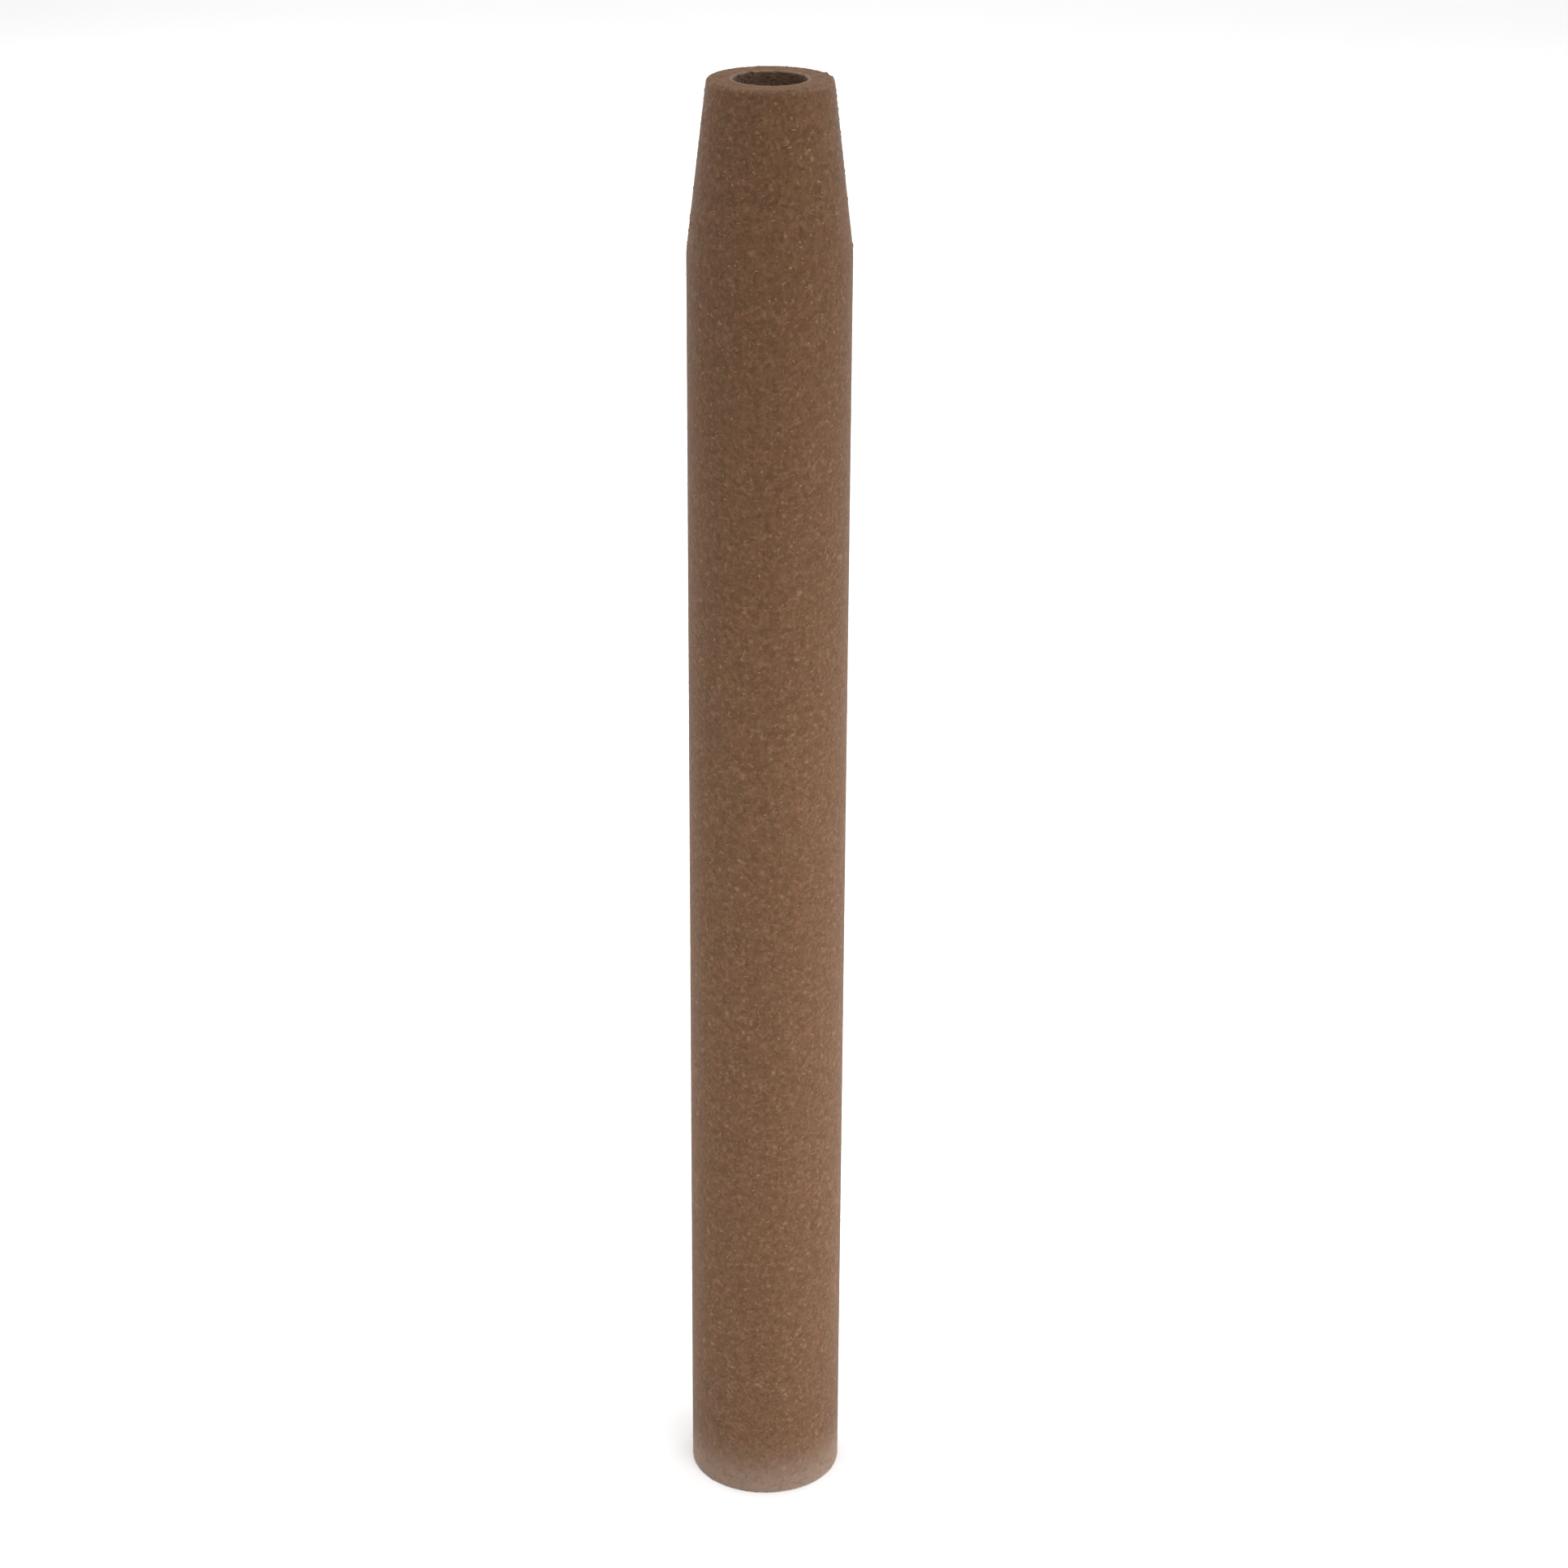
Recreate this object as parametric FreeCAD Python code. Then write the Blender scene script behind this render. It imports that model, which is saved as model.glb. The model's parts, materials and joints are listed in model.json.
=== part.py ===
import FreeCAD, Part
import math
import os

from FreeCAD import Vector

# Blending stump: a thick tube of soft pulp paper, wound from separate single-turn wraps and
# pasted together, then sanded to a blunt cone at one end. Millimetres. The foot stands on
# z = 0, the tube's axis is +Z and the nose points up.

# Overall sizes of the finished stick
LENGTH = 152.0
BODY_DIAMETER = 16.0
BORE_DIAMETER = 7.0

# The blunt nose: the diameter of its flat end, and how far the sanded cone runs back from it
NOSE_DIAMETER = 12.1
NOSE_LENGTH = 16.5

# Worn edges, each the radius of an arc in the half section
SHOULDER_ROUND = 8.0
NOSE_RIM_ROUND = 0.4
FOOT_RIM_ROUND = 0.3
BORE_MOUTH_ROUND = 0.2

# The wound wall
WRAP_COUNT = 12
JOINT_GAP = 0.05  # width of the glue line where the two edges of one wrap meet
SCARF_ANGLE = 45.0  # slant of that joint, measured from the radius
OUTER_JOINT_ANGLE = 90.0  # the outer wrap's joint lies at the back, along +Y
JOINT_STAGGER = 137.5  # turn from one wrap's joint to the next, so that no two line up

# Values that follow from the ones above
BORE_RADIUS = BORE_DIAMETER / 2
BODY_RADIUS = BODY_DIAMETER / 2
NOSE_RADIUS = NOSE_DIAMETER / 2
SHOULDER_HEIGHT = LENGTH - NOSE_LENGTH
WRAP_THICKNESS = (BODY_RADIUS - BORE_RADIUS) / WRAP_COUNT


def rounded_outline(corners):
    """A closed outline in the XZ plane from (radius, height, rounding) corners, with an arc at
    each corner that touches both of its straight sides."""
    points = [Vector(radius, 0, height) for radius, height, rounding in corners]
    starts = []
    middles = []
    ends = []
    for index, (radius, height, rounding) in enumerate(corners):
        corner = points[index]
        back = (points[index - 1] - corner).normalize()
        ahead = (points[(index + 1) % len(points)] - corner).normalize()
        half_angle = back.getAngle(ahead) / 2
        centre_line = (back + ahead).normalize()
        to_tangent = rounding / math.tan(half_angle)
        to_arc_middle = rounding / math.sin(half_angle) - rounding
        starts.append(corner + back * to_tangent)
        middles.append(corner + centre_line * to_arc_middle)
        ends.append(corner + ahead * to_tangent)
    edges = []
    for index in range(len(corners)):
        edges.append(Part.Arc(starts[index], middles[index], ends[index]).toShape())
        next_start = starts[(index + 1) % len(corners)]
        edges.append(Part.LineSegment(ends[index], next_start).toShape())
    return Part.Wire(edges)


def wall_section():
    """Half section of the whole stick's wall, from the bore to the outside."""
    return Part.Face(
        rounded_outline(
            [
                (BORE_RADIUS, 0, BORE_MOUTH_ROUND),
                (BODY_RADIUS, 0, FOOT_RIM_ROUND),
                (BODY_RADIUS, SHOULDER_HEIGHT, SHOULDER_ROUND),
                (NOSE_RADIUS, LENGTH, NOSE_RIM_ROUND),
                (BORE_RADIUS, LENGTH, BORE_MOUTH_ROUND),
            ]
        )
    )


def wrap_section(wall, inner_radius):
    """The part of the wall's half section that one wrap fills."""
    band = Part.makePlane(
        WRAP_THICKNESS, LENGTH, Vector(inner_radius, 0, 0), Vector(0, -1, 0), Vector(1, 0, 0)
    )
    return band.common(wall).Faces[0]


def joint_slit(inner_radius, angle):
    """The thin slanted slab that parts a wrap's two edges along its whole length."""
    reach = WRAP_THICKNESS / math.cos(math.radians(SCARF_ANGLE))
    slab = Part.makeBox(2 * reach, JOINT_GAP, LENGTH, Vector(-reach, -JOINT_GAP / 2, 0))
    slab.rotate(Vector(0, 0, 0), Vector(0, 0, 1), SCARF_ANGLE)
    slab.translate(Vector(inner_radius + WRAP_THICKNESS / 2, 0, 0))
    slab.rotate(Vector(0, 0, 0), Vector(0, 0, 1), angle)
    return slab


def wrap(wall, number):
    """One turn of paper, counted from 1 at the bore, sanded with the rest of the stick."""
    inner_radius = BORE_RADIUS + (number - 1) * WRAP_THICKNESS
    joint_angle = OUTER_JOINT_ANGLE + (WRAP_COUNT - number) * JOINT_STAGGER
    section = wrap_section(wall, inner_radius)
    ring = section.revolve(Vector(0, 0, 0), Vector(0, 0, 1), 360)
    return ring.cut(joint_slit(inner_radius, joint_angle)).Solids[0]


def wrap_name(number):
    """The name of a wrap, counted from 1 at the bore."""
    if number == 1:
        return "core_wrap"
    if number == WRAP_COUNT:
        return "outer_wrap"
    return f"wrap_{number:02d}"


os.makedirs("parts", exist_ok=True)
stick_wall = wall_section()
for wrap_number in range(1, WRAP_COUNT + 1):
    wrap(stick_wall, wrap_number).exportStep(f"parts/{wrap_name(wrap_number)}.step")
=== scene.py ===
import json
import logging
import math
from dataclasses import dataclass, field
from enum import Enum
from functools import reduce
from typing import Any, Optional, Union

import bmesh
import bpy
import numpy as np
from mathutils import Matrix, Vector, noise


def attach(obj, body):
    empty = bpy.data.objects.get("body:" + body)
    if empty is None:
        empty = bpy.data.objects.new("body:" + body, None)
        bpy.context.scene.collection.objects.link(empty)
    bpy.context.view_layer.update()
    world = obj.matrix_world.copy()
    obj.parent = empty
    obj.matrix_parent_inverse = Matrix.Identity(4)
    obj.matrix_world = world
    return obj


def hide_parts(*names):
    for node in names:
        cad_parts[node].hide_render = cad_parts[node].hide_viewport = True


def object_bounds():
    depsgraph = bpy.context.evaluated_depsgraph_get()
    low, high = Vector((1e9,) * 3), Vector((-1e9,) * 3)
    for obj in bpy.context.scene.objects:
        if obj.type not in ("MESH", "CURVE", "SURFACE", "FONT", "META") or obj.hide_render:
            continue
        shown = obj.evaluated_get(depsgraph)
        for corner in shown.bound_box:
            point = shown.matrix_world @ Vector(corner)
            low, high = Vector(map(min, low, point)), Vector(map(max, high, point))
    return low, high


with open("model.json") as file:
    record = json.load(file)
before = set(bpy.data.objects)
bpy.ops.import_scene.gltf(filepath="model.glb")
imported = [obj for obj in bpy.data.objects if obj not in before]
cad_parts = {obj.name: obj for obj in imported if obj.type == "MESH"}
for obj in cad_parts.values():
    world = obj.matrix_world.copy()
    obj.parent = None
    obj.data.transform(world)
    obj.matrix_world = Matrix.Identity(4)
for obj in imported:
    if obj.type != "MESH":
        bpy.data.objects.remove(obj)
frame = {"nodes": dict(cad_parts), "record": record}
cad_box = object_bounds()

# A blending stump: a thick stick of brown pulp paper, wound from single-turn wraps round an open
# bore and sanded to a blunt cone. It stands on its foot at z = 0 with its axis along +Z.

MM = 0.001
PER_MM = 1 / MM
BODY = "root"
PASTE_MARK = "pasted_joint"
TONE_MARK = "flake_tone"
UP_MARK = "flake_up"
# Painted light: the pale, greyer tone of floor bounce light on the foot.
FOOT_BOUNCE_LIGHT_TONE = (0.384, 0.293, 0.238)
SOCKET_TYPES = {bool: "NodeSocketBool", int: "NodeSocketInt", float: "NodeSocketFloat"}

log = logging.getLogger("blending_stump")
Socket = bpy.types.NodeSocket
Node = bpy.types.Node
Tree = bpy.types.NodeTree
Material = bpy.types.Material
Object = bpy.types.Object
Value = Union[Socket, float, int, bool, str, tuple]
Feeds = Optional[dict[Any, Value]]
Colour = tuple[float, float, float]
Point = tuple[float, float, float]
Span = tuple[float, float]


class Flake(Enum):
    """The loose stuff that shows in the surface of pulp paper."""

    FIBRE = "surface_fibres"
    GRANULE = "surface_granules"


class Paper(Enum):
    """Where on the stick a wrap's paper shows."""

    BARREL = "barrel_paper"
    NOSE = "nose_paper"
    # Painted light: the paper that lines the bore is painted lighter and greyer, for light reaching
    # into the bore.
    BORE = "bore_paper"


class Draw(Enum):
    """The random numbers that each flake draws, with their seeds."""

    TONE = 11
    TURN = 12
    LENGTH = 13
    WIDTH = 14
    SQUEEZE = 15


class Lamp(Enum):
    """The kinds of studio light."""

    PANEL = "AREA"
    CEILING = "SUN"


# ---------------------------------------------------------------- node trees


class NodeWriter:
    """Adds nodes to one tree and joins them."""

    def __init__(self, tree: Tree) -> None:
        """Starts writing into a tree.

        Args:
            tree: the shader or geometry tree that gets the nodes.
        """
        self.tree = tree

    def feed(self, socket: Socket, value: Value) -> None:
        """Links a socket to an input, or sets the input's own value.

        Args:
            socket: the input.
            value: an output socket of this tree, or a plain value.
        """
        if isinstance(value, Socket):
            self.tree.links.new(value, socket)
        else:
            socket.default_value = value

    def add(self, kind: str, feeds: Feeds = None, **settings: Any) -> Node:
        """Adds a node.

        Args:
            kind: the node's type name.
            feeds: input name or number to a socket or a value.
            **settings: the node's own properties.

        Returns:
            The new node.
        """
        node = self.tree.nodes.new(kind)
        for name, setting in settings.items():
            setattr(node, name, setting)
        for key, value in (feeds or {}).items():
            self.feed(node.inputs[key], value)
        return node

    def first(self, kind: str, feeds: Feeds = None, **settings: Any) -> Socket:
        """Adds a node as add does, and returns its first output."""
        return self.add(kind, feeds, **settings).outputs[0]

    def math(self, operation: str, *values: Value) -> Socket:
        """Adds a Math node with its inputs in order, and returns its result."""
        return self.first("ShaderNodeMath", dict(enumerate(values)), operation=operation)

    def times(self, *factors: Value) -> Socket:
        """The product of numbers."""
        return reduce(lambda first, second: self.math("MULTIPLY", first, second), factors)

    def plus(self, *terms: Value) -> Socket:
        """The sum of numbers."""
        return reduce(lambda first, second: self.math("ADD", first, second), terms)

    def largest(self, *numbers: Value) -> Socket:
        """The largest of some numbers."""
        return reduce(lambda first, second: self.math("MAXIMUM", first, second), numbers)

    def minus(self, number: Value, less: Value) -> Socket:
        """One number less another."""
        return self.math("SUBTRACT", number, less)

    def over(self, number: Value, divisor: Value) -> Socket:
        """One number divided by another."""
        return self.math("DIVIDE", number, divisor)

    def vector(self, operation: str, *values: Value) -> Socket:
        """Adds a Vector Math node with its inputs in order, and returns its vector."""
        return self.first("ShaderNodeVectorMath", dict(enumerate(values)), operation=operation)

    def scaled(self, vector: Value, factor: Value) -> Socket:
        """A vector times a number."""
        node = self.add("ShaderNodeVectorMath", {0: vector, "Scale": factor}, operation="SCALE")
        return node.outputs["Vector"]

    def length(self, vector: Value) -> Socket:
        """The length of a vector."""
        return self.add("ShaderNodeVectorMath", {0: vector}, operation="LENGTH").outputs["Value"]

    def parts(self, vector: Value) -> tuple[Socket, ...]:
        """The x, y and z of a vector."""
        return tuple(self.add("ShaderNodeSeparateXYZ", {0: vector}).outputs)

    def joined(self, x: Value, y: Value, z: Value) -> Socket:
        """A vector from its x, y and z."""
        return self.add("ShaderNodeCombineXYZ", {0: x, 1: y, 2: z}).outputs[0]

    def around_axis(self, place: Value) -> tuple[Socket, ...]:
        """A place's distance from the axis, then its x, y and z."""
        x, y, z = self.parts(place)
        return self.length(self.joined(x, y, 0.0)), x, y, z

    def ramp(self, value: Value, low: Value, high: Value) -> Socket:
        """Goes smoothly from 0 at low to 1 at high, and the other way if low is above high."""
        feeds = {0: value, 1: low, 2: high, 3: 0.0, 4: 1.0}
        return self.first("ShaderNodeMapRange", feeds, interpolation_type="SMOOTHSTEP", clamp=True)

    def noise(
        self, place: Value, scale: Value, detail: float, roughness: float = 0.5, output: Any = 0
    ) -> Socket:
        """Adds a noise texture, around 0.5, and returns one of its outputs."""
        feeds = {"Vector": place, "Scale": scale, "Detail": detail, "Roughness": roughness}
        return self.add("ShaderNodeTexNoise", feeds).outputs[output]

    def bell(self, distance: Value, width: Value) -> Socket:
        """1 at no distance, falling off as a bell curve of that width."""
        share = self.over(distance, width)
        return self.math("EXPONENT", self.times(share, share, -1.0))

    def ring_distance(
        self, radius: Value, height: Value, ring_radius: Value, ring_height: Value
    ) -> Socket:
        """How far a point at a radius and height is from a level ring round the axis."""
        out = self.minus(radius, ring_radius)
        return self.length(self.joined(out, self.minus(height, ring_height), 0.0))

    def blend(self, share: Value, first: Value, second: Value) -> Socket:
        """Mixes two colours, from all of the first at 0 to all of the second at 1."""
        feeds = {0: share, 6: first, 7: second}
        return self.add("ShaderNodeMix", feeds, data_type="RGBA", clamp_factor=True).outputs[2]

    def group(self, tree: Tree, feeds: dict[str, Value]) -> bpy.types.bpy_prop_collection:
        """Places a shader group and returns its outputs."""
        return self.add("ShaderNodeGroup", feeds, node_tree=tree).outputs

    def end_in_shader(self, feeds: dict[str, Value]) -> None:
        """Ends a material in a Principled shader with these inputs."""
        shader = self.add("ShaderNodeBsdfPrincipled", feeds)
        self.add("ShaderNodeOutputMaterial", {"Surface": shader.outputs[0]})

    def end_bumped(
        self, height: Value, strength: float, depth: float, feeds: dict[str, Value]
    ) -> None:
        """Ends a material in a Principled shader with a bump.

        Args:
            height: the bump's height.
            strength: the bump's strength.
            depth: the bump's depth where the height is 1.
            feeds: the shader's other inputs, name to a socket or a value.
        """
        bump = self.add("ShaderNodeBump", {"Strength": strength, "Distance": depth})
        self.feed(bump.inputs["Height"], height)
        self.end_in_shader({"Normal": bump.outputs[0], **feeds})

    def position(self) -> Socket:
        """Where each point of the geometry is."""
        return self.first("GeometryNodeInputPosition")

    def stored(self, geometry: Value, name: str, value: Value, kind: str = "FLOAT") -> Socket:
        """Keeps a value on each point of a geometry under a name, and returns the geometry."""
        feeds = {"Geometry": geometry, "Name": name, "Value": value}
        return self.first("GeometryNodeStoreNamedAttribute", feeds, data_type=kind, domain="POINT")

    def recalled(self, name: str, kind: str = "FLOAT") -> Socket:
        """Reads a value that was kept on the points."""
        return self.first("GeometryNodeInputNamedAttribute", {"Name": name}, data_type=kind)

    def finish_tree(self, result: Node, geometry: Value, finish: Value) -> Tree:
        """Ends a geometry tree in smooth, real and dressed faces.

        Args:
            result: the tree's output node.
            geometry: the geometry so far.
            finish: the material.

        Returns:
            The finished tree.
        """
        smooth = self.first("GeometryNodeSetShadeSmooth", {0: geometry})
        real = self.first("GeometryNodeRealizeInstances", {0: smooth})
        feeds = {"Geometry": real, "Material": finish}
        self.feed(result.inputs[0], self.first("GeometryNodeSetMaterial", feeds))
        return self.tree


def grouped(
    kind: str,
    name: str,
    inputs: dict[str, Any],
    outputs: tuple[str, ...],
    output_type: str = "NodeSocketFloat",
) -> tuple[NodeWriter, bpy.types.NodeOutputs, Node]:
    """Makes an empty node group with named sockets.

    Args:
        kind: "ShaderNodeTree" or "GeometryNodeTree".
        name: the group's name.
        inputs: socket name to its default number, or to its type if it has no default.
        outputs: the names of its output sockets.
        output_type: their type.

    Returns:
        A writer for the group, the group's inputs as given inside it, and its output node.
    """
    tree = bpy.data.node_groups.new(name, kind)
    for label, default in inputs.items():
        socket_type = SOCKET_TYPES.get(type(default), default)
        socket = tree.interface.new_socket(label, in_out="INPUT", socket_type=socket_type)
        if socket_type is not default:
            socket.default_value = default
    for label in outputs:
        tree.interface.new_socket(label, in_out="OUTPUT", socket_type=output_type)
    given = tree.nodes.new("NodeGroupInput").outputs
    return NodeWriter(tree), given, tree.nodes.new("NodeGroupOutput")


def new_material(name: str) -> tuple[Material, NodeWriter, Socket]:
    """Starts an empty material.

    Args:
        name: its name.

    Returns:
        The material, its writer, and the place on the object that its patterns follow.
    """
    made = bpy.data.materials.new(name)
    made.use_nodes = True
    made.node_tree.nodes.clear()
    writer = NodeWriter(made.node_tree)
    return made, writer, writer.add("ShaderNodeTexCoord").outputs["Object"]


def colour4(colour: Colour) -> tuple[float, float, float, float]:
    """A colour with full alpha."""
    return (*colour, 1.0)


def placed(name: str, data: bpy.types.ID) -> Object:
    """Puts a new object into the scene.

    Args:
        name: its name.
        data: its mesh, light or camera.

    Returns:
        The object.
    """
    made = bpy.data.objects.new(name, data)
    bpy.context.scene.collection.objects.link(made)
    return made


def plain_object(name: str, shape: bmesh.types.BMesh, finish: Material) -> Object:
    """Turns an edited shape into an object of one material.

    Args:
        name: the object's name.
        shape: the shape, which is used up.
        finish: the material.

    Returns:
        The object.
    """
    mesh = bpy.data.meshes.new(name)
    shape.to_mesh(mesh)
    shape.free()
    mesh.materials.append(finish)
    return placed(name, mesh)


def baked_mesh(
    name: str, source: bpy.types.Mesh, tree: Tree, settings: dict[str, Any]
) -> Object:
    """Runs a geometry tree on a mesh and keeps the result as a plain mesh object.

    Args:
        name: the finished object's name.
        source: the mesh that the tree starts from.
        tree: the geometry tree.
        settings: input name to value, set by the socket's identifier.

    Returns:
        An object at the origin with no modifiers.
    """
    maker = placed(name + "_maker", source)
    modifier = maker.modifiers.new("make", "NODES")
    modifier.node_group = tree
    for item in tree.interface.items_tree:
        if item.in_out == "INPUT" and item.name in settings:
            modifier[item.identifier] = settings[item.name]
    graph = bpy.context.evaluated_depsgraph_get()
    mesh = bpy.data.meshes.new_from_object(maker.evaluated_get(graph))
    bpy.data.objects.remove(maker)
    mesh.name = name
    return placed(name, mesh)


def set_on_body(piece: Object, *nodes: str) -> None:
    """Puts a finished piece on the stick's one body.

    Args:
        piece: the finished object.
        *nodes: the frame's nodes that it stands for.
    """
    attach(piece, BODY)
    if nodes:
        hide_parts(*nodes)
    log.info("%s: %d faces", piece.name, len(piece.data.polygons))


# ---------------------------------------------------------------- sizes


@dataclass
class StickShape:
    """The stick's sizes in metres, and the outlines that follow from them."""

    length: float
    body_radius: float
    bore_radius: float
    wrap_count: int
    nose_radius: float = 6.05 * MM
    nose_length: float = 16.5 * MM
    shoulder_round: float = 8.0 * MM
    nose_rim_round: float = 0.4 * MM
    foot_rim_round: float = 0.3 * MM
    mouth_round: float = 0.2 * MM
    arc_step: float = math.radians(11)

    @classmethod
    def from_frame(cls) -> "StickShape":
        """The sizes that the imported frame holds.

        Returns:
            A shape with the frame's length, radii and number of wraps.
        """
        _, high = cad_box
        bore = next(m for m in frame["record"]["mounts"] if m["name"] == "bore")
        return cls(
            length=high.z,
            body_radius=high.x,
            bore_radius=bore["dims"]["r_mm"] * MM,
            wrap_count=len(frame["nodes"]),
        )

    @property
    def wrap_thickness(self) -> float:
        """The thickness of one turn of paper."""
        return (self.body_radius - self.bore_radius) / self.wrap_count

    @property
    def shoulder_height(self) -> float:
        """Where the barrel turns into the cone."""
        return self.length - self.nose_length

    def softened(self, corners: list[tuple[float, float, float]]) -> np.ndarray:
        """A line through corners, each rounded with an arc, without its two outer legs.

        Args:
            corners: (radius, height, rounding) from one end to the other.

        Returns:
            Points as (radius, height) rows.
        """
        places = [Vector((radius, height)) for radius, height, _ in corners]
        points = []
        for index in range(1, len(corners) - 1):
            corner = places[index]
            back = (places[index - 1] - corner).normalized()
            ahead = (places[index + 1] - corner).normalized()
            half = back.angle(ahead) / 2
            rounding = corners[index][2]
            to_tangent = rounding / math.tan(half)
            centre = corner + (back + ahead).normalized() * (rounding / math.sin(half))
            start = corner + back * to_tangent - centre
            sweep = start.angle_signed(corner + ahead * to_tangent - centre)
            steps = max(2, math.ceil(abs(sweep) / self.arc_step))
            for step in range(steps + 1):
                turned = start.copy()
                turned.rotate(Matrix.Rotation(-sweep * step / steps, 2))
                points.append(centre + turned)
        return np.array(points)

    def crown(self) -> np.ndarray:
        """The upper surface, from the bore's wall over the flat and the rim and down the cone."""
        return self.softened(
            [
                (self.bore_radius, self.shoulder_height, 0),
                (self.bore_radius, self.length, self.mouth_round),
                (self.nose_radius, self.length, self.nose_rim_round),
                (self.body_radius, self.shoulder_height, self.shoulder_round),
                (self.body_radius, 0, 0),
            ]
        )

    def base(self) -> np.ndarray:
        """The lower surface, from the bore's wall to the barrel."""
        return self.softened(
            [
                (self.bore_radius, self.length, 0),
                (self.bore_radius, 0, self.mouth_round),
                (self.body_radius, 0, self.foot_rim_round),
                (self.body_radius, self.length, 0),
            ]
        )


def filled_in(line: np.ndarray, step: float) -> np.ndarray:
    """Adds evenly spaced points to a line, so that no two are further apart than a step.

    Args:
        line: points as rows.
        step: the longest distance between neighbours.

    Returns:
        The line with its own points and the added ones.
    """
    points = [line[:1]]
    for start, end in zip(line[:-1], line[1:]):
        count = max(1, math.ceil(np.linalg.norm(end - start) / step))
        shares = np.arange(1, count + 1)[:, None] / count
        points.append(start + (end - start) * shares)
    return np.vstack(points)


def between(line: np.ndarray, inner: float, outer: float) -> np.ndarray:
    """The stretch of a line that lies between two radii.

    Args:
        line: (radius, height) rows in order of radius.
        inner: the stretch's smallest radius.
        outer: the stretch's largest radius.

    Returns:
        The stretch, with a point exactly on each radius.
    """
    inside = line[(line[:, 0] > inner + 1e-7) & (line[:, 0] < outer - 1e-7)]
    ends = [(radius, np.interp(radius, line[:, 0], line[:, 1])) for radius in (inner, outer)]
    return np.vstack([ends[:1], inside, ends[1:]])


# ---------------------------------------------------------------- paper finishes


@dataclass
class PaperNodes:
    """The shader groups that every paper finish shares. Noise scales are per millimetre."""

    shape: StickShape
    warp_scale: float = 1.7
    warp_reach: float = 0.9
    fine_roughness: float = 0.66
    hue_scale: float = 1.1
    speck_reach: float = 0.42
    faintest_speck: float = 0.2
    curl_scale: float = 0.95
    thread_width: float = 0.078
    thread_core: float = 0.01
    shadow_level: float = 0.39
    shadow_width: float = 0.06
    shadow_strength: float = 0.5
    patch_scale: float = 2.3
    patch_limits: Span = (0.45, 0.6)
    bump_of_flecks: float = 0.4
    bump_of_pits: float = -0.6
    edge_width: float = 0.35 * MM
    face_depths: Span = (0.3 * MM, 0.05 * MM)
    face_wear: float = 0.6
    wear_scale: float = 1.7
    wear_limits: Span = (0.3, 0.62)
    foot_height: float = 3.6 * MM
    foot_unevenness: Span = (0.5, 0.75)
    # Painted shade towards the nose starts at this share of the length.
    nose_shade_from: float = 0.5
    line_width: float = 0.04 * MM
    line_scale: float = 2.6
    line_limits: Span = (0.44, 0.58)
    grain: Tree = field(init=False)
    # The wear group also holds painted light at the foot and painted shade towards the nose.
    wear: Tree = field(init=False)
    rings: Tree = field(init=False)

    def __post_init__(self) -> None:
        """Builds the groups."""
        self.grain = self.build_grain()
        self.wear = self.build_wear_and_painted_light()
        self.rings = self.build_rings()

    def build_grain(self) -> Tree:
        """Pulp grain: tone, ruddy and olive blotches, light flecks, curled fibres, and painted
        shade in dark pits and in shadow lines beside the fibres.

        Returns:
            The group.
        """
        outputs = ("Tone", "Hue", "Fleck", "Fibre", "Pit", "Height")
        sizes = {
            "Grain Size": 0.5,
            "Fleck Size": 0.5,
            "Fleck Share": 0.3,
            "Pit Size": 0.45,
            "Pit Share": 0.2,
        }
        writer, given, result = grouped(
            "ShaderNodeTree", "pulp_grain", {"Vector": "NodeSocketVector", **sizes}, outputs
        )
        place = writer.scaled(given["Vector"], PER_MM)
        warp = writer.noise(place, self.warp_scale, 2.0, output="Color")
        push = writer.scaled(writer.vector("SUBTRACT", warp, (0.5, 0.5, 0.5)), self.warp_reach)
        warped = writer.vector("ADD", place, push)
        fine = writer.noise(place, writer.over(1.0, given["Grain Size"]), 3.0, self.fine_roughness)

        def elsewhere(start: Value, offset: Point) -> Socket:
            """A place far enough away that its pattern is another one."""
            return writer.vector("ADD", start, offset)

        def specks(kind: str, offset: Point) -> Socket:
            """Scattered irregular spots, faint ones more often than strong ones.

            Args:
                kind: the start of the names of the inputs that give their size and share.
                offset: where in the pattern they are read.

            Returns:
                The spots' mask.
            """
            scale = writer.over(1.0, given[kind + " Size"])
            feeds = {"Vector": elsewhere(warped, offset), "Scale": scale}
            cells = writer.add("ShaderNodeTexVoronoi", feeds)
            lot, variety, strength = writer.parts(cells.outputs["Color"])
            chosen = writer.math("LESS_THAN", lot, given[kind + " Share"])
            edge = writer.times(writer.plus(variety, 0.5), self.speck_reach)
            spot = writer.ramp(cells.outputs["Distance"], edge, writer.times(edge, 0.1))
            strong = writer.math("POWER", strength, 2.0)
            least = self.faintest_speck
            faint = writer.math("MULTIPLY_ADD", strong, 1.0 - least, least)
            return writer.times(spot, chosen, faint)

        def off_level(level: float) -> Socket:
            """How far the curling pattern is from one of its levels."""
            return writer.math("ABSOLUTE", writer.minus(curls, level))

        hue = writer.noise(elsewhere(place, (31.0, 7.0, 3.0)), self.hue_scale, 2.0, 0.6)
        fleck = specks("Fleck", (0.0, 0.0, 0.0))
        pit = specks("Pit", (17.3, 4.1, 9.7))
        curls = writer.noise(elsewhere(warped, (5.0, 11.0, 2.0)), self.curl_scale, 1.0)
        thread = writer.ramp(off_level(0.5), self.thread_width, self.thread_core)
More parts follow.
